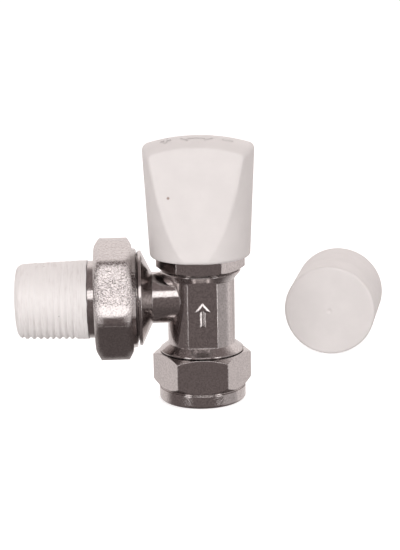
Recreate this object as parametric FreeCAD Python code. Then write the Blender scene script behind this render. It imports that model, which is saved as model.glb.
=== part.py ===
"""Angle-pattern lockshield radiator valve, 15 mm compression by R 1/2 tail.

Frame: origin at the centre of the pipe entry, on the compression nut's bottom face.
+Z runs up the spindle, and the radiator tail points along -X.  Millimetres.
"""

import FreeCAD, Part
import math
import os
from FreeCAD import Vector as V

# ---------------------------------------------------------------- clearances
RUN = 0.06            # radial clearance between pieces that turn or slide in each other
SEATED = 0.02         # radial clearance between pieces that stay together
FACE = 0.06           # axial gap between faces that close on each other
PIPE_CLEARANCE = 0.10  # radial clearance of the pipe in its socket

# ---------------------------------------------------------------- threads
BSP_PITCH = 1.814     # 14 threads per inch
SPINDLE_PITCH = 1.5
THREAD_DEPTH = 1.1
SPINDLE_THREAD_DEPTH = 0.7
TAPER = 1.0 / 32.0    # radius lost per length of a taper thread

# ---------------------------------------------------------------- compression end
PIPE_D = 15.0
OLIVE_WALL = 1.45
OLIVE_H = 6.4
OLIVE_BEVEL_H = 1.4
OLIVE_END_WALL = 0.3
OLIVE_CLEARANCE = 0.05
NUT_LIP = 3.2         # bottom lip that carries the olive
NUT_H = 14.2
NUT_FOOT_H = 4.2      # round foot below the hexagon
NUT_FOOT_PROUD = 0.25  # foot beyond the flats
NUT_FOOT_ROUND = 0.8
NUT_GROOVE_H = 0.45   # undercut between foot and hexagon
NUT_GROOVE_DEPTH = 0.5
NUT_WALL = 1.76       # thread crest to flat
COMPRESSION_NUT_TURN = -2.0
BOSS_WALL = 2.88      # socket wall to thread crest
FLANGE_LIP = 1.55     # flange above the nut, beyond the thread
FLANGE_GAP = 0.3      # nut to flange
FLANGE_H = 0.4
FLANGE_CONE_H = 1.8
SOCKET_DEPTH = 9.9    # body's mouth to the pipe stop

# ---------------------------------------------------------------- body
BARREL_WALL = 2.08    # socket wall to barrel
BARREL_FLAT_CUT = 0.91
BARREL_TOP = 37.9
FLARE_FOOT = 35.4     # where the barrel starts to widen below the headwork
FLARE_R = 11.5
FLARE_BEVEL = 0.3
FLATS_INTO_FLARE = 0.5
UNION_HEIGHT = 30.0   # spindle-side height of the union's axis
INLET_R = 4.8
SEAT_TOP = 25.0
SEAT_H = 1.2
SEAT_LAND = 1.2
CHAMBER_STEP = 0.45   # chamber wall inside the headwork's thread
TOP_WALL = 2.2        # barrel outside to the headwork's thread
NECK_R = 7.4
NECK_BORE_R = 5.0
NECK_LENGTH = 14.0    # spindle axis to the cone
CONE_LENGTH = 3.0
RIM_THICKNESS = 0.8
UNION_THREAD_R = 13.2
UNION_THREAD_LENGTH = 7.2
RIM_LIP = 0.4         # cone rim beyond the thread's crest
UNION_SEAT_DEPTH = 3.8
UNION_SEAT_MOUTH_WALL = 1.6   # thread root to the conical seat's mouth
ARROW_LENGTH = 7.2
ARROW_WIDTH = 4.8
ARROW_RELIEF = 0.27
ARROW_SLOPE = 0.6       # width of its sloping sides
ARROW_ROOT = 0.15       # how deep it reaches into the flat
ARROW_HEIGHT = 26.5

# ---------------------------------------------------------------- union
UNION_NUT_AF = 30.4
UNION_NUT_TURN = 18.5
UNION_NUT_GAP = 0.5   # cone rim to the nut's rear face
UNION_COLLAR_H = 1.2  # round collar at the nut's rear
UNION_COLLAR_WALL = 0.9
UNION_NUT_LIP = 2.5
TAIL_COLLAR_H = 2.3
TAIL_SHANK_R = 11.05
TAIL_HOLE_CLEARANCE = 0.35
TAIL_SHANK_LENGTH = 7.4
TAIL_THREAD_LENGTH = 17.3
TAIL_CREST_R = 11.3   # coated crest at the thread's large end
TAIL_RIDGE = 0.7      # coated ridge height
SEAL_UNDER_RIDGE = 0.45
TAIL_BARE_SHANK = 4.5  # shank left uncoated next to the collar
TAIL_BORE_R = 5.6
TAIL_KEY_AF = 12.0    # hexagon for the tail key
TAIL_KEY_DEPTH = 12.0
TAIL_TIP_BEVEL = 2.2  # length of the tail's bevelled tip
TAIL_TIP_DROP = 1.3
NOSE_GAP = 0.10
O_RING_WIRE_R = 0.75
O_RING_PROUD = 0.06

# ---------------------------------------------------------------- headwork
HEX_AF = 22.0
HEADWORK_TURN = -5.0
HEX_H = 5.7           # body's top face to the hexagon's
HEX_RELIEF_H = 0.3    # shadow gap between body and hexagon
HEX_RELIEF = 0.6      # depth of that gap inside the flats
HEX_FOOT_ANGLE = 20.0
SPIGOT_H = 3.8
SPIGOT_WALL = 1.0     # flat of the hexagon to the spigot, less the shoulder
HEADWORK_RING_WIRE_R = 0.4
PACKING_R = 6.0
GLAND_WASHER_H = 0.6
PACKING_H = 1.8
PACKING_BOX_DEPTH = 4.2
GLAND_NUT_AF = 13.0
GLAND_NUT_H = 3.6

# ---------------------------------------------------------------- spindle and jumper
STEM_R = 3.9
SPINDLE_THREAD_R = 5.0
SPINDLE_LIFT_TURNS = 2.5
LIFT_ROOM = 0.2       # free travel beyond the last turn
SPINDLE_FOOT = 28.9
SPINDLE_THREAD_TOP = 37.5
SPINDLE_TOP = 61.5
SQUARE_AF = 6.2
SQUARE_H = 9.5
SLOT_WIDTH = 1.0
SLOT_DEPTH = 1.6
WASHER_R = 6.2
WASHER_H = 2.0
WASHER_HOLE_R = 1.55
CUP_WALL = 0.5
CUP_DEPTH = 1.15
CUP_FLOOR = 1.55
STUD_R = 1.5
STUD_NUT_AF = 5.0
STUD_NUT_H = 1.7
BUTTON_R = 3.0
BUTTON_NECK_R = 2.4
BUTTON_H = 1.4
BUTTON_NECK_H = 1.6
BUTTON_PLAY = 0.3

# ---------------------------------------------------------------- head
HEAD_TURN = -8.0
HEAD_RIM = 42.0       # height of the head's open rim
HEAD_HEIGHT = 34.1    # rim to crown
HEAD_FLARE = 1.6      # top radius less rim radius
HEAD_CLEARANCE = 0.35  # hexagon corner to the head's bore
HEAD_RIM_WALL = 1.25
HEAD_WALL = 1.5
HEAD_TOP_WALL = 3.0
HEAD_DOME_R = 52.0    # curve of the crown along the flats
HEAD_VAULT_R = 13.6   # curve of the crown from flat to flat
HEAD_TOP_ROUND = 2.0
HEAD_RIM_ROUND = 0.9
FLAT_RIM_CUT = 0.16   # flat's depth at the rim
FLAT_SLOPE = 0.194    # inward lean of the flats per height
FLAT_ROUND = 0.8
FLAT_INNER_START = 2.6  # plain round bore above the rim
BOSS_TUBE_WALL = 1.4
BOSS_TUBE_START = 12.5
INSERT_WALL = 1.65
INSERT_START = 9.8
INSERT_H = 10.2
INSERT_SLOT = 0.7
GRIP_WIRE_R = 0.4
GRIP_HEIGHT = 1.3     # grip ring above the insert's foot
MARK_RELIEF = 0.25
MARK_ROOT = 0.3       # how deep the marks reach into the crown
MARK_FORWARD = 3.6    # marks' middle in front of the spindle's axis
MARK_LENGTH = 9.0
MARK_STROKE = 0.8
MARK_SIGN = 3.0
MARK_SIGN_OFFSET = 8.6

# ---------------------------------------------------------------- loose lockshield cap
CAP_LENGTH = 28.1
CAP_CLEARANCE = 0.5   # hexagon corner to the cap's bore
CAP_FLARE = 0.27      # open end's radius less closed end's
CAP_WALL = 1.65
CAP_END_WALL = 2.0
CAP_ROUND = 0.9
CAP_RIBS = 6
CAP_RIB_SET_BACK = 2.4  # open rim to the ribs, past the headwork's hexagon
CAP_RIB_LENGTH = 12.0
CAP_RIB_WIDTH = 1.2
CAP_GRIP = 0.05       # rib crests clear the spigot by this much
CAP_X = 46.8          # middle of the loose cap on the ground
CAP_Y = 51.1
CAP_YAW = 15.6
CAP_GATE_R = 1.1
CAP_GATE_DEPTH = 0.25

# ---------------------------------------------------------------- derived sizes
COS30 = math.cos(math.radians(30))
SOCKET_R = PIPE_D / 2 + PIPE_CLEARANCE
OLIVE_BORE_R = PIPE_D / 2 + OLIVE_CLEARANCE
OLIVE_R = OLIVE_BORE_R + OLIVE_WALL
OLIVE_SLOPE = (OLIVE_WALL - OLIVE_END_WALL) / OLIVE_BEVEL_H
OLIVE_FOOT = NUT_LIP + (OLIVE_BORE_R + OLIVE_END_WALL + FACE - SOCKET_R) / OLIVE_SLOPE + FACE
OLIVE_TOP = OLIVE_FOOT + OLIVE_H
BOSS_R = SOCKET_R + BOSS_WALL
BOSS_END = OLIVE_TOP - 1.1
COMPRESSION_BORE_R = BOSS_R + RUN
COMPRESSION_NUT_AF = 2 * (COMPRESSION_BORE_R + NUT_WALL)
FLANGE_R = BOSS_R + FLANGE_LIP
FLANGE_FOOT = NUT_H + FLANGE_GAP
PIPE_STOP = BOSS_END + SOCKET_DEPTH
BARREL_R = SOCKET_R + BARREL_WALL
BARREL_FLAT = BARREL_R - BARREL_FLAT_CUT
TOP_BORE_R = BARREL_R - TOP_WALL
CHAMBER_R = TOP_BORE_R - CHAMBER_STEP

CONE_END = NECK_LENGTH + CONE_LENGTH
RIM_END = CONE_END + RIM_THICKNESS
RIM_R = UNION_THREAD_R + RIM_LIP
BODY_END = RIM_END + UNION_THREAD_LENGTH
UNION_SEAT_R = UNION_THREAD_R - THREAD_DEPTH - UNION_SEAT_MOUTH_WALL
UNION_SEAT_SLOPE = (UNION_SEAT_R - NECK_BORE_R - 1.6) / UNION_SEAT_DEPTH
UNION_BORE_R = UNION_THREAD_R + RUN
TAIL_COLLAR_R = UNION_BORE_R - 0.6
TAIL_COLLAR_FOOT = BODY_END + 0.3
TAIL_COLLAR_END = TAIL_COLLAR_FOOT + TAIL_COLLAR_H
UNION_LIP_FOOT = TAIL_COLLAR_END + FACE
UNION_NUT_REAR = RIM_END + UNION_NUT_GAP
UNION_NUT_FRONT = UNION_LIP_FOOT + UNION_NUT_LIP
UNION_HOLE_R = TAIL_SHANK_R + TAIL_HOLE_CLEARANCE
TAIL_THREAD_START = TAIL_COLLAR_END + TAIL_SHANK_LENGTH
TAIL_END = TAIL_THREAD_START + TAIL_THREAD_LENGTH
TAIL_CORE_R = TAIL_CREST_R - TAIL_RIDGE - SEAL_UNDER_RIDGE
SEAL_START = TAIL_COLLAR_END + TAIL_BARE_SHANK

HEX_TOP = BARREL_TOP + HEX_H
HEX_CORNER_R = HEX_AF / 2 / COS30
SPIGOT_R = HEX_AF / 2 - 0.6
SPIGOT_TOP = HEX_TOP + SPIGOT_H
PACKING_FOOT = SPIGOT_TOP - PACKING_BOX_DEPTH
HEADWORK_THREAD_R = TOP_BORE_R - SEATED
SPINDLE_BORE_R = SPINDLE_THREAD_R + RUN
STEM_BORE_R = STEM_R + RUN
SPINDLE_LIFT = SPINDLE_LIFT_TURNS * SPINDLE_PITCH
STOP_FACE = SPINDLE_THREAD_TOP + SPINDLE_LIFT + LIFT_ROOM
WASHER_FOOT = SEAT_TOP + FACE
WASHER_TOP = WASHER_FOOT + WASHER_H
CUP_R = WASHER_R + CUP_WALL
CUP_TOP = WASHER_TOP + CUP_FLOOR
NOSE_FOOT = CUP_TOP + SPINDLE_LIFT + LIFT_ROOM
BUTTON_FOOT = CUP_TOP + BUTTON_NECK_H
GLAND_FOOT = PACKING_FOOT + GLAND_WASHER_H + PACKING_H
GLAND_TOP = SPIGOT_TOP + GLAND_NUT_H

HEAD_BORE_R = HEX_CORNER_R + HEAD_CLEARANCE
HEAD_RIM_R = HEAD_BORE_R + HEAD_RIM_WALL
HEAD_CROWN = HEAD_RIM + HEAD_HEIGHT
INSERT_FOOT = HEAD_RIM + INSERT_START
INSERT_TOP = INSERT_FOOT + INSERT_H
INSERT_BORE = SQUARE_AF + 2 * RUN
INSERT_R = STEM_BORE_R + INSERT_WALL
SQUARE_FOOT = SPINDLE_TOP - SQUARE_H
CAP_OPEN_R = HEX_CORNER_R + CAP_CLEARANCE + CAP_WALL
CAP_END_R = CAP_OPEN_R - CAP_FLARE


# ---------------------------------------------------------------- building blocks
def rod(radius, low, high):
    return Part.makeCylinder(radius, high - low, V(0, 0, low))


def tube(outer, inner, low, high):
    return rod(outer, low, high).cut(rod(inner, low - 1, high + 1))


def turned(outline):
    """A solid of revolution about Z from a closed outline of (radius, height) corners."""
    corners = [V(r, 0, z) for r, z in outline]
    wire = Part.makePolygon(corners + corners[:1])
    return Part.Face(wire).revolve(V(0, 0, 0), V(0, 0, 1), 360)


def hexagon(across_flats, low, high, turn=0.0):
    corner = across_flats / 2 / COS30
    points = [
        V(corner * math.cos(math.radians(turn + 60 * k)), corner * math.sin(math.radians(turn + 60 * k)), low)
        for k in range(7)
    ]
    return Part.Face(Part.makePolygon(points)).extrude(V(0, 0, high - low))


def bevelled_hexagon(
        across_flats, low, high, turn=0.0, low_angle=30.0, high_angle=30.0, low_r=None, high_r=None):
    """A hexagon whose corners are turned down to low_r and high_r at its ends, at these angles."""
    corner = across_flats / 2 / COS30 + 0.2
    low_r = across_flats / 2 if low_r is None else low_r
    high_r = across_flats / 2 if high_r is None else high_r
    low_rise = (corner - low_r) * math.tan(math.radians(low_angle))
    high_drop = (corner - high_r) * math.tan(math.radians(high_angle))
    envelope = turned([
        (0, low), (low_r, low), (corner, low + low_rise),
        (corner, high - high_drop), (high_r, high), (0, high),
    ])
    return hexagon(across_flats, low - 1, high + 1, turn).common(envelope)


def ring_of_wire(radius, wire_r, height):
    return Part.makeTorus(radius, wire_r, V(0, 0, height), V(0, 0, 1))


def thread_ridge(root_r, crest_r, low, high, pitch, taper=0.0, crest_share=0.12, base_share=0.44):
    """The helical ridge of a right-hand external thread, trimmed flat at low and high.

    The radii are those at low, and with a taper they grow towards high.
    """
    start = low - pitch
    sink = 0.25
    start_r = root_r - taper * pitch
    crest_r = crest_r - taper * pitch
    root_r = start_r
    helix = Part.makeHelix(pitch, high - low + 2 * pitch, start_r, math.degrees(math.atan(taper)))
    shoulder = crest_r - 0.25 * (crest_r - root_r)
    corners = [
        V(root_r - sink, 0, -base_share * pitch),
        V(shoulder, 0, -(crest_share + 0.1) * pitch),
        V(crest_r, 0, -crest_share * pitch),
        V(crest_r, 0, crest_share * pitch),
        V(shoulder, 0, (crest_share + 0.1) * pitch),
        V(root_r - sink, 0, base_share * pitch),
    ]
    sweep = Part.BRepOffsetAPI.MakePipeShell(Part.Wire(helix.Edges))
    sweep.setFrenetMode(True)
    sweep.add(Part.makePolygon(corners + corners[:1]))
    sweep.build()
    sweep.makeSolid()
    ridge = sweep.shape()
    ridge.translate(V(0, 0, start))
    return ridge.common(rod(3 * crest_r, low, high))


def threaded_rod(root_r, crest_r, low, high, pitch, bevel):
    """A threaded rod whose crests are bevelled away at its low end."""
    ridge = thread_ridge(root_r, crest_r, low, high, pitch)
    envelope = turned([
        (0, low), (crest_r - bevel, low), (crest_r + 0.1, low + bevel + 0.1), (crest_r + 0.1, high), (0, high),
    ])
    return rod(root_r, low, high).fuse(ridge).common(envelope)


def on_union_axis(shape):
    """Moves a piece drawn along +Z onto the union's axis, pointing along -X."""
    moved = shape.copy()
    moved.rotate(V(0, 0, 0), V(0, 1, 0), -90)
    moved.translate(V(0, 0, UNION_HEIGHT))
    return moved


def turned_about_z(shape, degrees):
    moved = shape.copy()
    moved.rotate(V(0, 0, 0), V(0, 0, 1), degrees)
    return moved


def box_between(low, high):
    return Part.makeBox(high[0] - low[0], high[1] - low[1], high[2] - low[2], V(*low))


# ---------------------------------------------------------------- body
def barrel():
    cone_foot = FLANGE_FOOT + FLANGE_H
    cone_top = cone_foot + FLANGE_CONE_H
    outside = turned([
        (0, FLANGE_FOOT), (FLANGE_R, FLANGE_FOOT), (FLANGE_R, cone_foot),
        (BARREL_R, cone_top), (BARREL_R, FLARE_FOOT), (FLARE_R, BARREL_TOP - FLARE_BEVEL),
        (FLARE_R - FLARE_BEVEL, BARREL_TOP), (0, BARREL_TOP),
    ])
    flats_top = FLARE_FOOT + FLATS_INTO_FLARE
    for side in (-1, 1):
        near, far = sorted((side * BARREL_FLAT, side * 2 * BARREL_R))
        outside = outside.cut(box_between((-BARREL_R, near, cone_top), (BARREL_R, far, flats_top)))
    boss = threaded_rod(BOSS_R - THREAD_DEPTH, BOSS_R, BOSS_END, FLANGE_FOOT, BSP_PITCH, bevel=0.7)
    return outside.fuse(boss)


def union_branch():
    neck = rod(NECK_R, 0, NECK_LENGTH)
    cone = turned([
        (0, NECK_LENGTH), (NECK_R, NECK_LENGTH), (RIM_R, CONE_END), (RIM_R, RIM_END), (0, RIM_END),
    ])
    thread = threaded_rod(
        UNION_THREAD_R - THREAD_DEPTH, UNION_THREAD_R, 0, UNION_THREAD_LENGTH, BSP_PITCH, bevel=0.7
    )
    thread.rotate(V(0, 0, 0), V(1, 0, 0), 180)
    thread.translate(V(0, 0, BODY_END))
    return on_union_axis(neck.fuse(cone).fuse(thread))


def inset(outline, distance):
    """A clockwise outline with every side moved inwards by a distance."""
    moved = []
    for k, corner in enumerate(outline):
        here = V(*corner)
        after = V(*outline[(k + 1) % len(outline)])
        arriving = (here - V(*outline[k - 1])).normalize()
        leaving = (after - here).normalize()
        sides = V(arriving.y + leaving.y, -arriving.x - leaving.x)
        moved.append(here + sides * (distance / (1 + arriving.dot(leaving))))
    return moved


def flow_arrow():
    """A raised arrow with sloping sides, on the front flat, that shows the way the water rises."""
    half = ARROW_LENGTH / 2
    barb = ARROW_WIDTH / 2
    shaft = ARROW_WIDTH / 6
    neck = half - barb * 1.2
    outline = [(0, half), (barb, neck), (shaft, neck), (shaft, -half), (-shaft, -half), (-shaft, neck), (-barb, neck)]
    sections = []
    for height in (-ARROW_ROOT, ARROW_RELIEF):
        corners = inset(outline, ARROW_SLOPE * height / ARROW_RELIEF)
        points = [V(c.x, -BARREL_FLAT - height, ARROW_HEIGHT + c.y) for c in corners]
        sections.append(Part.makePolygon(points + points[:1]))
    return Part.makeLoft(sections, True, True)


def body_waterways():
    """Pipe socket, inlet, chamber round the raised seat, headwork bore and union bore."""
    mouth_r = OLIVE_BORE_R + OLIVE_END_WALL + FACE + OLIVE_SLOPE * (OLIVE_TOP - BOSS_END + FACE)
    mouth_top = BOSS_END + (mouth_r - SOCKET_R) / OLIVE_SLOPE
    socket = turned([
        (0, BOSS_END - 1), (mouth_r, BOSS_END - 1), (mouth_r, BOSS_END), (SOCKET_R, mouth_top),
        (SOCKET_R, PIPE_STOP), (INLET_R, PIPE_STOP), (INLET_R, SEAT_TOP + 1), (0, SEAT_TOP + 1),
    ])
    seat_r = INLET_R + SEAT_LAND
    chamber_floor = SEAT_TOP - SEAT_H
    chamber = turned([
        (seat_r, chamber_floor), (CHAMBER_R, chamber_floor), (CHAMBER_R, NOSE_FOOT - 0.2),
        (TOP_BORE_R, NOSE_FOOT - 0.2), (TOP_BORE_R, BARREL_TOP + 1), (0, BARREL_TOP + 1),
        (0, SEAT_TOP), (seat_r, SEAT_TOP),
    ])
    seat_cone_r = NECK_BORE_R + 1.6
    union_bore = turned([
        (0, CHAMBER_R - 2), (NECK_BORE_R, CHAMBER_R - 2), (NECK_BORE_R, BODY_END - UNION_SEAT_DEPTH),
        (seat_cone_r, BODY_END - UNION_SEAT_DEPTH), (UNION_SEAT_R, BODY_END),
        (UNION_SEAT_R, BODY_END + 1), (0, BODY_END + 1),
    ])
    return [socket, chamber, on_union_axis(union_bore)]


def valve_body():
    body = barrel().fuse(union_branch()).fuse(flow_arrow())
    for hollow in body_waterways():
        body = body.cut(hollow)
    ring_size = 2 * HEADWORK_RING_WIRE_R
    groove = tube(TOP_BORE_R + ring_size, TOP_BORE_R - 1, BARREL_TOP - ring_size, BARREL_TOP + 1)
    return body.cut(groove)


# ---------------------------------------------------------------- compression end
def compression_nut():
    hole_top = NUT_LIP + (COMPRESSION_BORE_R - SOCKET_R) / OLIVE_SLOPE
    hollow = turned([
        (0, -1), (SOCKET_R, -1), (SOCKET_R, NUT_LIP), (COMPRESSION_BORE_R, hole_top),
        (COMPRESSION_BORE_R, NUT_H - 0.5), (COMPRESSION_BORE_R + 0.5, NUT_H), (COMPRESSION_BORE_R + 0.5, NUT_H + 1),
        (0, NUT_H + 1),
    ])
    foot_r = COMPRESSION_NUT_AF / 2 + NUT_FOOT_PROUD
    groove_foot = NUT_FOOT_H - NUT_GROOVE_H
    groove_r = foot_r - NUT_GROOVE_DEPTH
    foot = turned([
        (0, 0), (foot_r, 0), (foot_r, groove_foot), (groove_r, groove_foot), (groove_r, NUT_FOOT_H + 0.5),
        (0, NUT_FOOT_H + 0.5),
    ])
    low_edges = [e for e in foot.Edges if e.BoundBox.ZMax < 0.01 and e.BoundBox.XLength > foot_r]
    foot = foot.makeFillet(NUT_FOOT_ROUND, low_edges)
    body = bevelled_hexagon(COMPRESSION_NUT_AF, NUT_FOOT_H, NUT_H, COMPRESSION_NUT_TURN, low_angle=40)
    return body.fuse(foot).cut(hollow)


def compression_olive():
    inner = OLIVE_BORE_R
    end = OLIVE_BORE_R + OLIVE_END_WALL
    return turned([
        (inner, OLIVE_FOOT), (end, OLIVE_FOOT), (OLIVE_R, OLIVE_FOOT + OLIVE_BEVEL_H),
        (OLIVE_R, OLIVE_TOP - OLIVE_BEVEL_H), (end, OLIVE_TOP), (inner, OLIVE_TOP),
    ])


# ---------------------------------------------------------------- union
def union_nut():
    hexagon_foot = UNION_NUT_REAR + UNION_COLLAR_H
    collar_r = UNION_BORE_R + UNION_COLLAR_WALL
    collar = turned([
        (0, UNION_NUT_REAR), (collar_r - 0.3, UNION_NUT_REAR), (collar_r, UNION_NUT_REAR + 0.3),
        (collar_r + 0.2, hexagon_foot + 0.5), (0, hexagon_foot + 0.5),
    ])
    body = bevelled_hexagon(UNION_NUT_AF, hexagon_foot, UNION_NUT_FRONT, UNION_NUT_TURN)
    hollow = turned([
        (0, UNION_NUT_REAR - 1), (UNION_BORE_R + 0.5, UNION_NUT_REAR - 1), (UNION_BORE_R + 0.5, UNION_NUT_REAR),
        (UNION_BORE_R, UNION_NUT_REAR + 0.5), (UNION_BORE_R, UNION_LIP_FOOT), (UNION_HOLE_R, UNION_LIP_FOOT),
        (UNION_HOLE_R, UNION_NUT_FRONT + 1), (0, UNION_NUT_FRONT + 1),
    ])
    return on_union_axis(body.fuse(collar).cut(hollow))


def nose_radius(distance):
    """Radius of the tail's conical nose at a distance from the spindle axis."""
    return UNION_SEAT_R - NOSE_GAP - UNION_SEAT_SLOPE * (BODY_END - distance)


def nose_ring_place():
    """Centre radius and distance of the O-ring in the tail's nose."""
    distance = BODY_END - UNION_SEAT_DEPTH * 0.5
    sunk = O_RING_WIRE_R - O_RING_PROUD
    return nose_radius(distance) - sunk, distance + sunk * UNION_SEAT_SLOPE


def tailpiece():
    nose_foot = BODY_END - UNION_SEAT_DEPTH + 0.4
    tip_core_r = TAIL_CORE_R - TAPER * TAIL_THREAD_LENGTH
    outside = turned([
        (0, nose_foot), (nose_radius(nose_foot), nose_foot), (nose_radius(BODY_END), BODY_END),
        (nose_radius(BODY_END), TAIL_COLLAR_FOOT), (TAIL_COLLAR_R, TAIL_COLLAR_FOOT),
        (TAIL_COLLAR_R, TAIL_COLLAR_END), (TAIL_SHANK_R, TAIL_COLLAR_END), (TAIL_SHANK_R, SEAL_START),
        (TAIL_SHANK_R - 0.2, SEAL_START), (TAIL_SHANK_R - 0.2, TAIL_THREAD_START - 0.6),
        (TAIL_CORE_R, TAIL_THREAD_START), (tip_core_r, TAIL_END - TAIL_TIP_BEVEL),
        (tip_core_r - TAIL_TIP_DROP, TAIL_END), (0, TAIL_END),
    ])
    bore = rod(TAIL_BORE_R, 0, TAIL_END - TAIL_KEY_DEPTH)
    key = hexagon(TAIL_KEY_AF, TAIL_END - TAIL_KEY_DEPTH, TAIL_END + 1)
    ring_r, ring_z = nose_ring_place()
    groove = ring_of_wire(ring_r, O_RING_WIRE_R + SEATED, ring_z)
    return on_union_axis(outside.cut(bore).cut(key).cut(groove))


def union_o_ring():
    ring_r, ring_z = nose_ring_place()
    return on_union_axis(ring_of_wire(ring_r, O_RING_WIRE_R, ring_z))


def thread_seal():
    """The white sealing coat that covers the tail's taper thread, its bevelled tip and part of its shank."""
    root_r = TAIL_CREST_R - TAIL_RIDGE
    ridged = TAIL_THREAD_LENGTH - TAIL_TIP_BEVEL
    ridge_end = TAIL_THREAD_START + ridged
    tip_crest_r = TAIL_CREST_R - TAPER * ridged
    ridge = thread_ridge(
        tip_crest_r - TAIL_RIDGE, tip_crest_r + 0.05, 0, ridged, BSP_PITCH, TAPER, crest_share=0.2, base_share=0.46
    )
    ridge.rotate(V(0, 0, 0), V(1, 0, 0), 180)
    ridge.translate(V(0, 0, ridge_end))
    core_end_r = root_r - TAPER * ridged
    core = turned([
        (0, SEAL_START), (TAIL_CREST_R - 0.1, SEAL_START), (TAIL_CREST_R - 0.1, TAIL_THREAD_START - 0.5),
        (root_r, TAIL_THREAD_START), (core_end_r, ridge_end), (core_end_r - TAIL_TIP_DROP, TAIL_END), (0, TAIL_END),
    ])
    envelope = turned([
        (0, SEAL_START), (TAIL_CREST_R, SEAL_START), (TAIL_CREST_R, TAIL_THREAD_START), (tip_crest_r, ridge_end),
        (tip_crest_r - TAIL_TIP_DROP, TAIL_END), (0, TAIL_END),
    ])
    shank_bore_r = TAIL_SHANK_R - 0.2 + SEATED
    core_bore_r = TAIL_CORE_R + SEATED
    tip_bore_r = core_bore_r - TAPER * TAIL_THREAD_LENGTH
    inside = turned([
        (0, SEAL_START - 1), (shank_bore_r, SEAL_START - 1), (shank_bore_r, TAIL_THREAD_START - 0.6),
        (core_bore_r, TAIL_THREAD_START), (tip_bore_r, TAIL_END - TAIL_TIP_BEVEL), (tip_bore_r - TAIL_TIP_DROP, TAIL_END),
        (0, TAIL_END),
    ])
    return on_union_axis(core.fuse(ridge).common(envelope).cut(inside))


# ---------------------------------------------------------------- headwork
def headwork():
    hexagon_foot = BARREL_TOP + HEX_RELIEF_H
    hexagonal = bevelled_hexagon(HEX_AF, hexagon_foot, HEX_TOP, HEADWORK_TURN, low_angle=HEX_FOOT_ANGLE)
    shoulder = rod(HEX_AF / 2 - HEX_RELIEF, BARREL_TOP, hexagon_foot + 0.5)
    groove_r = SPIGOT_R - 0.4
    groove_z = HEX_TOP + SPIGOT_H * 0.5
    spigot = turned([
        (0, HEX_TOP - 0.5), (SPIGOT_R, HEX_TOP - 0.5), (SPIGOT_R, groove_z - 0.5), (groove_r, groove_z - 0.3),
        (groove_r, groove_z + 0.3), (SPIGOT_R, groove_z + 0.5), (SPIGOT_R, SPIGOT_TOP - 0.5),
        (SPIGOT_R - 0.5, SPIGOT_TOP), (0, SPIGOT_TOP),
    ])
    nose = turned([
        (0, NOSE_FOOT), (HEADWORK_THREAD_R - 0.5, NOSE_FOOT), (HEADWORK_THREAD_R, NOSE_FOOT + 0.5),
        (HEADWORK_THREAD_R, BARREL_TOP + 0.5), (0, BARREL_TOP + 0.5),
    ])
    hollow = turned([
        (0, NOSE_FOOT - 1), (SPINDLE_BORE_R, NOSE_FOOT - 1), (SPINDLE_BORE_R, STOP_FACE), (STEM_BORE_R, STOP_FACE),
        (STEM_BORE_R, PACKING_FOOT), (PACKING_R, PACKING_FOOT), (PACKING_R, SPIGOT_TOP + 1), (0, SPIGOT_TOP + 1),
    ])
    return hexagonal.fuse(shoulder).fuse(spigot).fuse(nose).cut(hollow)


def headwork_o_ring():
    """Static seal in the corner between the headwork's thread and the body's top face."""
    return ring_of_wire(
        HEADWORK_THREAD_R + HEADWORK_RING_WIRE_R + SEATED / 2, HEADWORK_RING_WIRE_R - SEATED / 2,
        BARREL_TOP - HEADWORK_RING_WIRE_R,
    )


def gland_washer():
    return tube(PACKING_R - SEATED, STEM_BORE_R, PACKING_FOOT, PACKING_FOOT + GLAND_WASHER_H)


def gland_packing():
    low = PACKING_FOOT + GLAND_WASHER_H
    return tube(PACKING_R - SEATED, STEM_BORE_R, low, low + PACKING_H)


def gland_nut():
    hexagonal = bevelled_hexagon(GLAND_NUT_AF, SPIGOT_TOP, GLAND_TOP, 10.0, low_angle=0.0, low_r=GLAND_NUT_AF)
    nose = rod(PACKING_R - SEATED, GLAND_FOOT, SPIGOT_TOP + 0.5)
    return hexagonal.fuse(nose).cut(rod(STEM_BORE_R, GLAND_FOOT - 1, GLAND_TOP + 1))


# ---------------------------------------------------------------- spindle and jumper
def square_bar(across_flats, corner_r, low, high, turn):
    bar = box_between(
        (-across_flats / 2, -across_flats / 2, low), (across_flats / 2, across_flats / 2, high)
    ).common(rod(corner_r, low, high))
    return turned_about_z(bar, turn)


def spindle():
    thread = threaded_rod(
        SPINDLE_THREAD_R - SPINDLE_THREAD_DEPTH, SPINDLE_THREAD_R, SPINDLE_FOOT, SPINDLE_THREAD_TOP,
        SPINDLE_PITCH, bevel=0.5,
    )
    stem = rod(STEM_R, SPINDLE_THREAD_TOP - 0.5, SQUARE_FOOT)
    square = square_bar(SQUARE_AF, STEM_R, SQUARE_FOOT - 0.5, SPINDLE_TOP, HEAD_TURN)
    tip = turned([
        (0, SQUARE_FOOT - 1), (STEM_R, SQUARE_FOOT - 1), (STEM_R, SPINDLE_TOP - 0.6), (STEM_R - 0.6, SPINDLE_TOP),
        (0, SPINDLE_TOP),
    ])
    slot = turned_about_z(
        box_between((-STEM_R, -SLOT_WIDTH / 2, SPINDLE_TOP - SLOT_DEPTH), (STEM_R, SLOT_WIDTH / 2, SPINDLE_TOP + 1)),
        HEAD_TURN,
    )
    lip_top = BUTTON_FOOT - BUTTON_PLAY
    socket = turned([
        (0, SPINDLE_FOOT - 1), (BUTTON_NECK_R + RUN, SPINDLE_FOOT - 1), (BUTTON_NECK_R + RUN, lip_top),
        (BUTTON_R + RUN, lip_top), (BUTTON_R + RUN, BUTTON_FOOT + BUTTON_H + BUTTON_PLAY),
        (0, BUTTON_FOOT + BUTTON_H + BUTTON_PLAY),
    ])
    return thread.fuse(stem).fuse(square.common(tip)).cut(slot).cut(socket)


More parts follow.
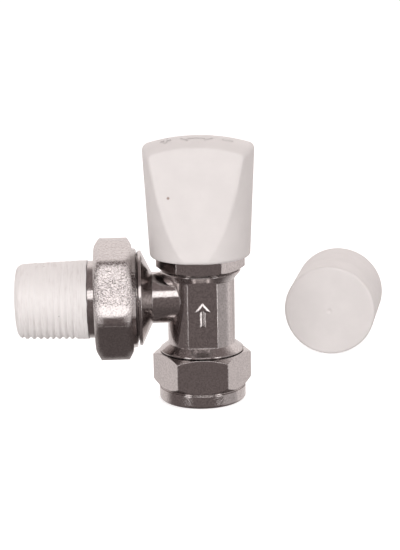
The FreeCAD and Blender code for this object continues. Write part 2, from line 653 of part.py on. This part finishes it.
def jumper():
    """The disc holder that the spindle lifts off the seat, with its stud below and button above."""
    stud_foot = WASHER_FOOT - STUD_NUT_H - 0.3
    cup_foot = WASHER_TOP - CUP_DEPTH
    return turned([
        (0, stud_foot), (STUD_R, stud_foot), (STUD_R, WASHER_TOP), (WASHER_R + SEATED, WASHER_TOP),
        (WASHER_R + SEATED, cup_foot), (CUP_R, cup_foot), (CUP_R, CUP_TOP), (BUTTON_NECK_R, CUP_TOP),
        (BUTTON_NECK_R, BUTTON_FOOT), (BUTTON_R, BUTTON_FOOT), (BUTTON_R, BUTTON_FOOT + BUTTON_H),
        (0, BUTTON_FOOT + BUTTON_H),
    ])


def seat_washer():
    return tube(WASHER_R, WASHER_HOLE_R, WASHER_FOOT, WASHER_TOP)


def stud_nut():
    low = WASHER_FOOT - STUD_NUT_H
    return hexagon(STUD_NUT_AF, low, WASHER_FOOT).cut(rod(STUD_R + SEATED, low - 1, WASHER_FOOT + 1))


# ---------------------------------------------------------------- head
def head_radius(height):
    return HEAD_RIM_R + HEAD_FLARE * (height - HEAD_RIM) / HEAD_HEIGHT


def above_vault(crown):
    """The space above a crown that curves gently along x and tightly from front to back."""
    middle = V(0, 0, crown - HEAD_DOME_R)
    ring = Part.makeTorus(HEAD_DOME_R - HEAD_VAULT_R, HEAD_VAULT_R, middle, V(0, 1, 0))
    side = 2 * HEAD_RIM_R
    high = crown + HEAD_VAULT_R
    return box_between((-side, -HEAD_VAULT_R, crown - HEAD_VAULT_R), (side, HEAD_VAULT_R, high)).cut(ring)


def flat_slab(inset, low, high):
    """The space between the two leaning flats, moved inwards by an inset."""
    def half_thickness(height):
        return HEAD_RIM_R - FLAT_RIM_CUT - FLAT_SLOPE * (height - HEAD_RIM) - inset

    side = 2 * HEAD_RIM_R
    corners = [
        V(-side, -half_thickness(low), low), V(-side, half_thickness(low), low),
        V(-side, half_thickness(high), high), V(-side, -half_thickness(high), high),
    ]
    return Part.Face(Part.makePolygon(corners + corners[:1])).extrude(V(2 * side, 0, 0))


def rounded_edges(shape, radius, wanted):
    return shape.makeFillet(radius, [e for e in shape.Edges if wanted(e)])


def head_outside():
    high = HEAD_CROWN + 5
    solid = Part.makeCone(head_radius(HEAD_RIM), head_radius(high), high - HEAD_RIM, V(0, 0, HEAD_RIM))
    solid = rounded_edges(solid, HEAD_RIM_ROUND, lambda e: e.BoundBox.ZMax < HEAD_RIM + 0.01)
    solid = solid.common(flat_slab(0, HEAD_RIM - 1, high)).cut(above_vault(HEAD_CROWN))
    middle = HEAD_RIM + HEAD_HEIGHT / 2
    solid = rounded_edges(
        solid, HEAD_TOP_ROUND, lambda e: e.BoundBox.ZMin > middle and e.BoundBox.XLength < HEAD_RIM_R / 2
    )
    flats = [
        f for f in solid.Faces if isinstance(f.Surface, Part.Plane) and f.BoundBox.ZLength > HEAD_HEIGHT / 2
    ]
    edges = [e for f in flats for e in f.Edges]
    return solid.makeFillet(FLAT_ROUND, edges)


def head_hollow():
    high = HEAD_CROWN - HEAD_TOP_WALL
    narrow = HEAD_RIM_R - HEAD_BORE_R
    cone = Part.makeCone(
        head_radius(HEAD_RIM) - narrow, head_radius(high) - HEAD_WALL, high - HEAD_RIM, V(0, 0, HEAD_RIM)
    )
    upper = cone.common(flat_slab(HEAD_WALL, HEAD_RIM - 1, high + 1)).cut(above_vault(high))
    rim_bore = rod(HEAD_BORE_R, HEAD_RIM - 1, HEAD_RIM + FLAT_INNER_START)
    return upper.fuse(rim_bore)


def mark_prism(outline):
    """A prism from (x, y) corners, set forward on the crown and tall enough to cross its skin."""
    points = [V(x, y - MARK_FORWARD, HEAD_CROWN - 3) for x, y in outline]
    return Part.Face(Part.makePolygon(points + points[:1])).extrude(V(0, 0, 4))


def bar_mark(cx, cy, length, width):
    return mark_prism([
        (cx - length / 2, cy - width / 2), (cx + length / 2, cy - width / 2),
        (cx + length / 2, cy + width / 2), (cx - length / 2, cy + width / 2),
    ])


def head_marks():
    """Raised double arrow between a plus and a minus on the crown."""
    half = MARK_LENGTH / 2
    barb = MARK_SIGN / 2
    tip_root = half - barb * 1.4
    arrow = bar_mark(0, 0, MARK_LENGTH - 2 * barb, MARK_STROKE)
    for side in (-1, 1):
        arrow = arrow.fuse(mark_prism([(side * half, 0), (side * tip_root, barb), (side * tip_root, -barb)]))
    minus = bar_mark(MARK_SIGN_OFFSET, 0, MARK_SIGN, MARK_STROKE)
    plus = bar_mark(-MARK_SIGN_OFFSET, 0, MARK_SIGN, MARK_STROKE).fuse(
        bar_mark(-MARK_SIGN_OFFSET, 0, MARK_STROKE, MARK_SIGN)
    )
    skin = above_vault(HEAD_CROWN - MARK_ROOT).cut(above_vault(HEAD_CROWN + MARK_RELIEF))
    return [mark.common(skin) for mark in (arrow, minus, plus)]


def wheelhead():
    shell = head_outside().cut(head_hollow())
    tube_top = HEAD_CROWN - HEAD_TOP_WALL + 0.5
    boss_tube = rod(INSERT_R + BOSS_TUBE_WALL, HEAD_RIM + BOSS_TUBE_START, tube_top)
    boss_tube = boss_tube.common(flat_slab(HEAD_WALL / 2, HEAD_RIM, HEAD_CROWN))
    shell = shell.fuse(boss_tube).cut(rod(INSERT_R + SEATED, HEAD_RIM, INSERT_TOP + SEATED))
    for mark in head_marks():
        shell = shell.fuse(mark)
    return turned_about_z(shell, HEAD_TURN)


def head_insert():
    """Slotted bush in the head that takes the spindle's square."""
    groove_low = INSERT_FOOT + GRIP_HEIGHT - GRIP_WIRE_R
    groove_high = INSERT_FOOT + GRIP_HEIGHT + GRIP_WIRE_R
    outside = turned([
        (0, INSERT_FOOT), (INSERT_R, INSERT_FOOT), (INSERT_R, groove_low), (INSERT_R - GRIP_WIRE_R, groove_low),
        (INSERT_R - GRIP_WIRE_R, groove_high), (INSERT_R, groove_high), (INSERT_R, INSERT_TOP), (0, INSERT_TOP),
    ])
    square = square_bar(INSERT_BORE, STEM_BORE_R, INSERT_FOOT - 1, SPINDLE_TOP + 0.2, 0)
    entry = rod(STEM_BORE_R, INSERT_FOOT - 1, SQUARE_FOOT + 0.3)
    slots = [
        box_between((-INSERT_R, -INSERT_SLOT / 2, INSERT_FOOT - 1), (INSERT_R, INSERT_SLOT / 2, INSERT_FOOT + 2.4)),
        box_between((-INSERT_SLOT / 2, -INSERT_R, INSERT_FOOT - 1), (INSERT_SLOT / 2, INSERT_R, INSERT_FOOT + 2.4)),
    ]
    bush = outside.cut(square).cut(entry)
    for slot in slots:
        bush = bush.cut(slot)
    return turned_about_z(bush, HEAD_TURN)


def head_grip_ring():
    """Open spring ring that squeezes the bush's fingers onto the spindle."""
    ring = ring_of_wire(INSERT_R, GRIP_WIRE_R - SEATED, INSERT_FOOT + GRIP_HEIGHT)
    gap = box_between((0, -0.8, INSERT_FOOT), (2 * INSERT_R, 0.8, INSERT_TOP))
    return turned_about_z(ring.cut(gap), HEAD_TURN + 45)


# ---------------------------------------------------------------- loose cap
def lockshield_cap():
    """Plain cap drawn with its closed end at 0, then laid on its side on the ground."""
    outside = Part.makeCone(CAP_END_R, CAP_OPEN_R, CAP_LENGTH)
    outside = rounded_edges(outside, CAP_ROUND, lambda e: e.BoundBox.ZMax < 0.01)
    hollow = Part.makeCone(
        CAP_END_R - CAP_WALL, CAP_OPEN_R - CAP_WALL, CAP_LENGTH - CAP_END_WALL + 0.01, V(0, 0, CAP_END_WALL)
    )
    cap = outside.cut(hollow).cut(turned([(0, -1), (CAP_GATE_R, -1), (CAP_GATE_R, 0), (0, CAP_GATE_DEPTH)]))
    rib_high = CAP_LENGTH - CAP_RIB_SET_BACK
    rib_low = rib_high - CAP_RIB_LENGTH
    rib_band = tube(CAP_END_R - CAP_WALL / 2, SPIGOT_R + CAP_GRIP, rib_low, rib_high)
    for k in range(CAP_RIBS):
        sector = box_between((0, -CAP_RIB_WIDTH / 2, rib_low - 1), (CAP_OPEN_R, CAP_RIB_WIDTH / 2, rib_high + 1))
        cap = cap.fuse(rib_band.common(turned_about_z(sector, 360.0 * (k + 0.5) / CAP_RIBS)))
    lean = math.degrees(math.atan(CAP_FLARE / CAP_LENGTH))
    cap.translate(V(0, 0, -CAP_LENGTH / 2))
    cap.rotate(V(0, 0, 0), V(1, 0, 0), -90)
    cap.rotate(V(0, 0, 0), V(1, 0, 0), lean)
    cap.rotate(V(0, 0, 0), V(0, 0, 1), -CAP_YAW)
    middle_r = (CAP_END_R + CAP_OPEN_R) / 2
    cap.translate(V(CAP_X, CAP_Y, middle_r / math.cos(math.radians(lean))))
    return cap


# ---------------------------------------------------------------- write the parts
NODES = {
    "valve_body": valve_body,
    "compression_nut": compression_nut,
    "compression_olive": compression_olive,
    "union_nut": union_nut,
    "union_tailpiece": tailpiece,
    "union_o_ring": union_o_ring,
    "thread_seal": thread_seal,
    "headwork": headwork,
    "headwork_o_ring": headwork_o_ring,
    "gland_washer": gland_washer,
    "gland_packing": gland_packing,
    "gland_nut": gland_nut,
    "spindle": spindle,
    "jumper": jumper,
    "seat_washer": seat_washer,
    "jumper_stud_nut": stud_nut,
    "wheelhead": wheelhead,
    "head_insert": head_insert,
    "head_grip_ring": head_grip_ring,
    "lockshield_cap": lockshield_cap,
}


def main():
    os.makedirs("parts", exist_ok=True)
    for name, build in NODES.items():
        shape = build()
        solids = shape.Solids
        print(f"{name}: {len(solids)} solid, valid {shape.isValid()}, {sum(s.Volume for s in solids):.1f} mm3")
        (solids[0] if len(solids) == 1 else Part.makeCompound(solids)).exportStep(f"parts/{name}.step")


main()
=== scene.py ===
from math import cos, pi, radians, sin, sqrt

import bpy
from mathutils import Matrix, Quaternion, Vector, noise


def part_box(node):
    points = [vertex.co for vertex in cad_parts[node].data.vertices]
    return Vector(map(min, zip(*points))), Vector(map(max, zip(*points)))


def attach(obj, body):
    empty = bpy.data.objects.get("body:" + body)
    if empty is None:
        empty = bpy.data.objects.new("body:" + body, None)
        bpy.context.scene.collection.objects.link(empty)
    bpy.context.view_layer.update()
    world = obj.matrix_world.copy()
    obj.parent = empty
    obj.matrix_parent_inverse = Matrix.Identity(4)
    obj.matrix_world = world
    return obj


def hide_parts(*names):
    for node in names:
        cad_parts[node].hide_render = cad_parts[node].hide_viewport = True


MM = 0.001

# Camera
CAMERA_TARGET = Vector((-0.15, 0.0, 36.15)) * MM
CAMERA_DISTANCE = 334 * MM
CAMERA_AZIMUTH = radians(2.54)
CAMERA_ELEVATION = radians(12.65)
CAMERA_ROLL = radians(-1.15)
CAMERA_LENS = 105.14
SENSOR_WIDTH = 36.0
CLIP_NEAR = 0.01
CLIP_FAR = 20

# Studio: its dark side is in front of the object and its pale side behind
STUDIO_DARK = (0.22, 0.186, 0.183)
STUDIO_PALE = (0.97, 0.915, 0.90)
STUDIO_STEEPNESS = -0.42  # how far straight up and straight down count as the dark side
FILL = True               # a soft box that lights but isn't mirrored
MIRRORED = False          # a soft box that is mirrored but doesn't light

# Floor, in metres
FLOOR_FLAT_RINGS = (0.001, 0.1, 0.2, 0.4)
FLOOR_RADIUS = 1.2
FLOOR_CURL = 1.5
FLOOR_CURL_STEPS = 16
FLOOR_SIDES = 96
FLOOR_DROP = 0.00005
FLOOR_COLOUR = (0.8, 0.79, 0.785)
FLOOR_GLOW = 0.7

# Thread coat, in millimetres
PITCH = 1.814
COAT_SHANK = 2.9          # smooth stretch next to the nut
COAT_TAPER = 1.0 / 32.0
COAT_TIP = 2.6            # rounded stretch at the end
COAT_TIP_DROP = 1.75
COAT_SHANK_BORE = 10.88
COAT_CORE_BORE = 10.19
COAT_BEVEL = 2.2
COAT_BEVEL_DROP = 1.3
SHANK_CREST = 11.3
COAT_TIP_POWER = 2.2
COAT_BORE_STEP = 0.6      # how far before the shank's end the wider bore stops
COAT_TOP_DEPTH = 0.10     # thread valleys left open on top
COAT_SAG_DEPTH = 0.48     # how much deeper they are below
COAT_SAG_POWER = 1.5
COAT_VALLEY_POWER = 1.4
COAT_WANDER = 0.12
COAT_BRUSH = 0.035
COAT_LUMPS = 0.05
COAT_SKIN = 0.05          # how far the whole skin sits inside its envelope
COAT_FADE_LEAD = 0.4      # valleys start this far before the shank's end
COAT_FADE_IN = 1.6
COAT_FADE_OUT = 2.0
COAT_RAGGED = 0.12
COAT_RAGGED_LAP = 0.1
COAT_RAGGED_LENGTH = 1.5
COAT_ROWS = 190
COAT_SIDES = 288

# Finishes, in millimetres and linear colour
PLATING = (0.575, 0.532, 0.522)
PALE_PLASTIC = (0.77, 0.735, 0.72)
SCUFF_PLACE = (-8.9, -9.55, 60.0)
SCUFF_CORE = 0.2
SCUFF_EDGE = 0.55
SCUFF_COLOUR = (0.33, 0.24, 0.21)
NUT_BAND = (26.4, 30.9, 0.37)  # foot and top of the union nut's smooth band, and how far it curves in


class Tree:
    """A node tree with short calls for the nodes the materials here are made of."""

    def __init__(self, tree):
        self.nodes = tree.nodes
        self.links = tree.links

    def put(self, socket, value):
        if isinstance(value, bpy.types.NodeSocket):
            self.links.new(value, socket)
        elif isinstance(value, tuple) and len(value) == 3 and socket.type == "RGBA":
            socket.default_value = (*value, 1.0)
        else:
            socket.default_value = value

    def node(self, kind, settings=None, **inputs):
        made = self.nodes.new(kind)
        for name, value in (settings or {}).items():
            setattr(made, name, value)
        for name, value in inputs.items():
            self.put(made.inputs[name.replace("_", " ")], value)
        return made

    def math(self, operation, first, second=0.0, third=0.0, clamp=False):
        made = self.nodes.new("ShaderNodeMath")
        made.operation = operation
        made.use_clamp = clamp
        for socket, value in zip(made.inputs, (first, second, third)):
            self.put(socket, value)
        return made.outputs[0]

    def place(self, stretch=(1, 1, 1)):
        """Object position in millimetres, squeezed by stretch."""
        spot = self.node("ShaderNodeTexCoord").outputs["Object"]
        scale = tuple(1000.0 * s for s in stretch)
        return self.node("ShaderNodeMapping", Vector=spot, Scale=scale).outputs[0]

    def noise(self, vector, scale, detail=2.0, roughness=0.5):
        return self.node("ShaderNodeTexNoise", Vector=vector, Scale=scale, Detail=detail,
                         Roughness=roughness).outputs["Fac"]

    def span(self, value, low, high, start=0.0, end=1.0):
        """value moved from low..high to start..end, smoothly and kept inside."""
        made = self.node("ShaderNodeMapRange", {"interpolation_type": "SMOOTHSTEP"}, Value=value)
        for name, number in (("From Min", low), ("From Max", high), ("To Min", start), ("To Max", end)):
            made.inputs[name].default_value = number
        return made.outputs[0]

    def mix(self, amount, first, second):
        made = self.nodes.new("ShaderNodeMix")
        made.data_type = "RGBA"
        self.put(made.inputs[0], amount)
        self.put(made.inputs[6], first)
        self.put(made.inputs[7], second)
        return made.outputs[2]

    def bump(self, height, depth_mm, normal=None):
        made = self.node("ShaderNodeBump", Height=height, Distance=depth_mm * MM)
        if normal is not None:
            self.put(made.inputs["Normal"], normal)
        return made.outputs[0]

    def rounded_edges(self, radius_mm):
        return self.node("ShaderNodeBevel", {"samples": 6}, Radius=radius_mm * MM).outputs[0]


def material(name):
    """A new material with its node tree and its shader."""
    made = bpy.data.materials.new(name)
    made.use_nodes = True
    tree = Tree(made.node_tree)
    shader = made.node_tree.nodes["Principled BSDF"]
    return made, tree, shader


def chrome(name, ripple_mm, ripple_scale, grain_mm, roughness, tint=PLATING, edge_mm=0.35, buffed=None):
    """Bright plating over a cast or pressed surface: slow ripple, fine grain, faint haze and specks.

    buffed is the low and high end in mm of a band that is polished smooth, and how far it curves in.
    """
    made, tree, shader = material(name)
    spot = tree.place()
    stain = tree.noise(spot, 0.35, 3.0, 0.6)
    clean = tree.mix(tree.span(stain, 0.35, 0.75), tint, tuple(0.92 * c for c in tint))
    speck = tree.noise(spot, 2.1, 2.0, 0.7)
    dusty = tree.mix(tree.span(speck, 0.36, 0.60), tuple(0.80 * c for c in tint), clean)
    tree.put(shader.inputs["Base Color"], dusty)
    shader.inputs["Metallic"].default_value = 1.0
    haze = tree.noise(spot, 1.6, 4.0, 0.65)
    ripple = tree.noise(spot, ripple_scale, 2.0, 0.5)
    grain = tree.noise(spot, 4.5, 3.0, 0.7)
    normal = tree.rounded_edges(edge_mm)
    rough = tree.span(haze, 0.3, 0.8, roughness * 0.7, roughness * 1.6)
    if buffed:
        low, high, drop = buffed
        height = tree.node("ShaderNodeSeparateXYZ", Vector=spot).outputs[2]
        inward = tree.math("DIVIDE", tree.math("SUBTRACT", high, height), high - low, clamp=True)
        plain = tree.span(height, high - 0.8, high + 1.6)
        crown = tree.math("SUBTRACT", 1.0, tree.math("MULTIPLY", inward, inward))
        normal = tree.bump(crown, drop, normal)
        ripple = tree.math("MULTIPLY", tree.math("SUBTRACT", ripple, 0.5), plain)
        rough = tree.math("MULTIPLY", rough, tree.math("MULTIPLY_ADD", plain, 0.5, 0.5))
    tree.put(shader.inputs["Roughness"], rough)
    normal = tree.bump(ripple, ripple_mm, normal)
    tree.put(shader.inputs["Normal"], tree.bump(grain, grain_mm, normal))
    return made


def brass(name, tint=(0.62, 0.42, 0.17)):
    """Turned brass with fine tool lines and patches of tarnish."""
    made, tree, shader = material(name)
    spot = tree.place()
    tarnish = tree.noise(spot, 0.4, 4.0, 0.6)
    tree.put(shader.inputs["Base Color"], tree.mix(tree.span(tarnish, 0.35, 0.8),
             tint, (0.36, 0.24, 0.12)))
    shader.inputs["Metallic"].default_value = 1.0
    tree.put(shader.inputs["Roughness"], tree.span(tarnish, 0.3, 0.8, 0.2, 0.42))
    turning = tree.noise(tree.place((0.3, 0.3, 12.0)), 1.0, 2.0)
    tree.put(shader.inputs["Normal"], tree.bump(turning, 0.01, tree.rounded_edges(0.15)))
    return made


def moulded(name, tint, roughness=0.38, texture_mm=0.012, texture_scale=3.0, edge_mm=0.25, scuff=None):
    """Moulded plastic, matt and a little uneven. scuff is where a small brown knock sits, in mm."""
    made, tree, shader = material(name)
    spot = tree.place()
    shade = tree.noise(spot, 0.12, 3.0, 0.55)
    colour = tree.mix(tree.span(shade, 0.3, 0.7), tint, tuple(0.95 * c for c in tint))
    if scuff:
        away = tree.node("ShaderNodeVectorMath", {"operation": "DISTANCE"})
        tree.put(away.inputs[0], spot)
        away.inputs[1].default_value = scuff
        colour = tree.mix(tree.span(away.outputs["Value"], SCUFF_CORE, SCUFF_EDGE), SCUFF_COLOUR, colour)
    tree.put(shader.inputs["Base Color"], colour)
    dull = tree.noise(spot, 1.3, 3.0, 0.6)
    tree.put(shader.inputs["Roughness"], tree.span(dull, 0.3, 0.7, roughness * 0.85, roughness * 1.2))
    texture = tree.noise(spot, texture_scale, 3.0, 0.6)
    tree.put(shader.inputs["Normal"], tree.bump(texture, texture_mm, tree.rounded_edges(edge_mm)))
    return made


def brushed_coat(name):
    """Dried sealing paste: brush lines round the thread, thin and grey in places, with specks of grit."""
    made, tree, shader = material(name)
    lines = tree.noise(tree.place((2.6, 0.22, 0.22)), 1.0, 4.0, 0.6)
    patches = tree.noise(tree.place(), 0.16, 3.0, 0.55)
    thin = tree.math("MULTIPLY", tree.span(lines, 0.42, 0.72), tree.span(patches, 0.35, 0.65))
    colour = tree.mix(thin, (0.86, 0.83, 0.815), (0.74, 0.70, 0.685))
    grit = tree.noise(tree.place((1.0, 0.7, 0.7)), 1.35, 1.0, 0.3)
    colour = tree.mix(tree.span(grit, 0.80, 0.84), colour, (0.30, 0.26, 0.24))
    tree.put(shader.inputs["Base Color"], colour)
    tree.put(shader.inputs["Roughness"], tree.span(patches, 0.3, 0.7, 0.36, 0.55))
    fine = tree.noise(tree.place((5.0, 1.2, 1.2)), 1.0, 3.0, 0.6)
    tree.put(shader.inputs["Normal"], tree.bump(fine, 0.03, tree.bump(lines, 0.07)))
    return made


def coat_envelope(along, length):
    """Radius of the coat's crests, in millimetres, at a distance from its edge by the nut."""
    straight = SHANK_CREST - COAT_TAPER * max(0.0, along - COAT_SHANK)
    into_tip = max(0.0, along - (length - COAT_TIP)) / COAT_TIP
    return straight - COAT_TIP_DROP * (1 - sqrt(max(0.0, 1 - into_tip ** COAT_TIP_POWER)))


def coat_bore(along, length):
    """Inner radius of the coat: over the shank, over the thread's core, then over the bevelled tip."""
    if along < COAT_SHANK - COAT_BORE_STEP:
        return COAT_SHANK_BORE
    straight = COAT_CORE_BORE - COAT_TAPER * max(0.0, along - COAT_SHANK)
    into_bevel = max(0.0, along - (length - COAT_BEVEL)) / COAT_BEVEL
    return straight - COAT_BEVEL_DROP * into_bevel


def coat_radius(along, turn, length):
    """Outer radius of the coat: thick, so it fills the thread on top and sags into it below."""
    crest = coat_envelope(along, length)
    low = 0.5 - 0.5 * sin(turn)
    depth = COAT_TOP_DEPTH + COAT_SAG_DEPTH * low ** COAT_SAG_POWER
    wander = COAT_WANDER * noise.noise(Vector((along * 0.35, cos(turn) * 1.5, sin(turn) * 1.5)))
    phase = 2 * pi * (along / PITCH + wander) - turn
    valley = (0.5 - 0.5 * cos(phase)) ** COAT_VALLEY_POWER
    fade_in = min(1.0, max(0.0, (along - COAT_SHANK + COAT_FADE_LEAD) / COAT_FADE_IN))
    fade_out = min(1.0, max(0.0, (length - along) / COAT_FADE_OUT))
    brush = COAT_BRUSH * noise.noise(Vector((along * 3.1, cos(turn) * 2.2, sin(turn) * 2.2 + 7.0)))
    lumps = COAT_LUMPS * noise.noise(Vector((along * 0.6, cos(turn) * 3.0 + 3.0, sin(turn) * 3.0)))
    return crest - depth * valley * fade_in * fade_out + brush + lumps - COAT_SKIN


def make_coat(finish):
    """The sealing coat on the tail's thread, as one closed skin round the union's axis."""
    low, high = (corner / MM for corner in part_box("thread_seal"))
    edge_x, end_x = high.x, low.x
    length = edge_x - end_x
    middle = (low.z + high.z) / 2
    outer, inner = [], []
    for row in range(COAT_ROWS + 1):
        along = length * row / COAT_ROWS
        outer.append((along, lambda turn, a=along: coat_radius(a, turn, length)))
        inner.append((along, lambda turn, a=along: coat_bore(a, length)))
    rings = outer + inner[::-1]
    verts = []
    for along, radius in rings:
        for step in range(COAT_SIDES):
            turn = 2 * pi * step / COAT_SIDES
            near_edge = max(0.0, 1 - along / COAT_RAGGED_LENGTH)
            ragged = COAT_RAGGED * noise.noise(Vector((cos(turn) * 4, sin(turn) * 4, 2.0))) * near_edge
            x = edge_x - along + ragged - COAT_RAGGED_LAP * near_edge
            r = radius(turn)
            verts.append((x * MM, r * cos(turn) * MM, (middle + r * sin(turn)) * MM))
    faces = []
    for ring in range(len(rings)):
        for step in range(COAT_SIDES):
            here, there = ring * COAT_SIDES, (ring + 1) % len(rings) * COAT_SIDES
            after = (step + 1) % COAT_SIDES
            faces.append((here + step, there + step, there + after, here + after))
    mesh = bpy.data.meshes.new("thread_coat")
    mesh.from_pydata(verts, [], faces)
    mesh.shade_smooth()
    mesh.materials.append(finish)
    coat = bpy.data.objects.new("thread_coat", mesh)
    bpy.context.collection.objects.link(coat)
    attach(coat, "tail")
    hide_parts("thread_seal")


def add_camera():
    """A camera in front of the object, looking slightly down, a little from one side and slightly tipped."""
    forward = Vector((sin(CAMERA_AZIMUTH) * cos(CAMERA_ELEVATION),
                      cos(CAMERA_AZIMUTH) * cos(CAMERA_ELEVATION),
                      -sin(CAMERA_ELEVATION)))
    data = bpy.data.cameras.new("camera")
    data.sensor_fit = "HORIZONTAL"
    data.sensor_width = SENSOR_WIDTH
    data.lens = CAMERA_LENS
    data.clip_start = CLIP_NEAR
    data.clip_end = CLIP_FAR
    camera = bpy.data.objects.new("camera", data)
    camera.location = CAMERA_TARGET - forward * CAMERA_DISTANCE
    camera.rotation_mode = "QUATERNION"
    camera.rotation_quaternion = forward.to_track_quat("-Z", "Y") @ Quaternion((0, 0, 1), CAMERA_ROLL)
    bpy.context.collection.objects.link(camera)
    bpy.context.scene.camera = camera


def add_light(name, azimuth, elevation, distance, width, height, watts, fill):
    """A soft box aimed at the object. azimuth 0 is the front, positive to the right."""
    azimuth, elevation = radians(azimuth), radians(elevation)
    away = Vector((sin(azimuth) * cos(elevation), -cos(azimuth) * cos(elevation), sin(elevation)))
    data = bpy.data.lights.new(name, "AREA")
    data.shape = "RECTANGLE"
    data.size = width
    data.size_y = height
    data.energy = watts
    light = bpy.data.objects.new(name, data)
    light.location = CAMERA_TARGET + away * distance
    light.rotation_mode = "QUATERNION"
    light.rotation_quaternion = (-away).to_track_quat("-Z", "Y")
    light.visible_camera = False
    light.visible_glossy = not fill
    light.visible_diffuse = fill
    bpy.context.collection.objects.link(light)


def add_surroundings():
    """Light from all round, fixed to the room: dull in front, pale behind, and dimmer from below."""
    world = bpy.data.worlds.new("studio")
    bpy.context.scene.world = world
    world.use_nodes = True
    tree = Tree(world.node_tree)
    way = tree.node("ShaderNodeTexCoord").outputs["Generated"]
    parts = tree.node("ShaderNodeSeparateXYZ", Vector=way).outputs
    steep = tree.math("ABSOLUTE", parts[2])
    lit = tree.math("MULTIPLY_ADD", steep, STUDIO_STEEPNESS, parts[1])
    amount = tree.span(lit, -0.15, 0.42)
    colour = tree.mix(amount, STUDIO_DARK, STUDIO_PALE)
    background = world.node_tree.nodes["Background"]
    tree.put(background.inputs["Color"], colour)
    above = tree.span(parts[2], -0.3, 0.8, 0.95, 1.3)
    below = tree.span(parts[2], -0.85, -0.3, 0.65, 1.0)
    tree.put(background.inputs["Strength"], tree.math("MULTIPLY", above, below))


def add_floor():
    """A wide round sheet of white paper whose edge curls up all the way round, so no horizon shows."""
    rings = [(radius, 0.0) for radius in (*FLOOR_FLAT_RINGS, FLOOR_RADIUS)]
    for step in range(1, FLOOR_CURL_STEPS + 1):
        turn = radians(90.0 * step / FLOOR_CURL_STEPS)
        rings.append((FLOOR_RADIUS + FLOOR_CURL * sin(turn), FLOOR_CURL * (1 - cos(turn))))
    verts = []
    for radius, height in rings:
        for step in range(FLOOR_SIDES):
            turn = radians(360.0 * step / FLOOR_SIDES)
            verts.append((radius * cos(turn), radius * sin(turn), height - FLOOR_DROP))
    faces = [list(range(FLOOR_SIDES))]
    for ring in range(len(rings) - 1):
        for step in range(FLOOR_SIDES):
            low, high = ring * FLOOR_SIDES, (ring + 1) * FLOOR_SIDES
            after = (step + 1) % FLOOR_SIDES
            faces.append((low + step, high + step, high + after, low + after))
    mesh = bpy.data.meshes.new("floor")
    mesh.from_pydata(verts, [], faces)
    mesh.shade_smooth()
    floor = bpy.data.objects.new("floor", mesh)
    bpy.context.collection.objects.link(floor)
    made, _, shader = material("paper")
    shader.inputs["Base Color"].default_value = (*FLOOR_COLOUR, 1)
    shader.inputs["Roughness"].default_value = 0.9
    shader.inputs["Emission Color"].default_value = (1.0, 1.0, 1.0, 1)
    shader.inputs["Emission Strength"].default_value = FLOOR_GLOW
    mesh.materials.append(made)
    floor.visible_glossy = False
    floor.visible_diffuse = False
    floor.visible_shadow = False


def dress(frame, finish, *names):
    """Give these pieces this finish alone."""
    for name in names:
        piece = frame["nodes"][name]
        piece.data.materials.clear()
        piece.data.materials.append(finish)


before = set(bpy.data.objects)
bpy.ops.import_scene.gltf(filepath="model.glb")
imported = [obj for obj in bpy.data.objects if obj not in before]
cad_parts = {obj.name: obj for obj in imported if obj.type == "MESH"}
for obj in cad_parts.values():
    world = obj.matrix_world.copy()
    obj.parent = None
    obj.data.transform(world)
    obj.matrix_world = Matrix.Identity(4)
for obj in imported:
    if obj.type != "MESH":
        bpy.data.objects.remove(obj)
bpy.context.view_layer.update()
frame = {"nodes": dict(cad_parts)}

add_camera()
add_surroundings()
add_floor()
add_light("key_reflection", 0, 26.3, 1.1, 0.9, 0.5, 2.4, MIRRORED)
add_light("left_strip", -41, 5, 1.1, 0.3, 0.9, 2.0, MIRRORED)
add_light("right_strip", 41, 5, 1.1, 0.3, 0.9, 2.0, MIRRORED)
add_light("right_reflection", 82, -8, 0.5, 0.55, 0.5, 0.33, MIRRORED)
add_light("front_fill", -14, 2, 2.0, 1.6, 1.2, 26.0, FILL)
add_light("right_fill", 75, 15, 1.1, 0.6, 0.8, 2.5, FILL)
add_light("low_fill", -10, -40, 1.1, 0.9, 0.6, 2.9, FILL)
add_light("top_fill", 0, 85, 1.1, 0.8, 0.8, 4.0, FILL)
bpy.context.scene.view_settings.view_transform = "Standard"

cast_chrome = chrome("chrome_cast", 0.03, 0.5, 0.008, 0.13)
nut_chrome = chrome("chrome_nut", 0.20, 1.5, 0.008, 0.05, edge_mm=3.4, buffed=NUT_BAND)
white = moulded("white_moulded", PALE_PLASTIC)
head_white = moulded("white_head", PALE_PLASTIC, edge_mm=0.9, scuff=SCUFF_PLACE)
coat = brushed_coat("brushed_coat")
yellow = brass("brass_turned")
nylon = moulded("nylon_bush", (0.72, 0.68, 0.58), 0.45)
packing = moulded("packing_ring", (0.55, 0.5, 0.42), 0.7, 0.03, 2.0)
rubber = moulded("rubber_ring", (0.025, 0.025, 0.025), 0.55, 0.01, 2.0)
steel = chrome("spring_wire", 0.002, 2.0, 0.001, 0.25, (0.5, 0.5, 0.5))

dress(frame, cast_chrome, "valve_body", "headwork", "compression_nut", "union_tailpiece")
dress(frame, nut_chrome, "union_nut")
dress(frame, white, "lockshield_cap")
dress(frame, head_white, "wheelhead")
make_coat(coat)
dress(frame, yellow, "compression_olive", "spindle", "jumper", "jumper_stud_nut")
dress(frame, yellow, "gland_nut", "gland_washer")
dress(frame, nylon, "head_insert")
dress(frame, packing, "gland_packing")
dress(frame, rubber, "headwork_o_ring", "union_o_ring", "seat_washer")
dress(frame, steel, "head_grip_ring")
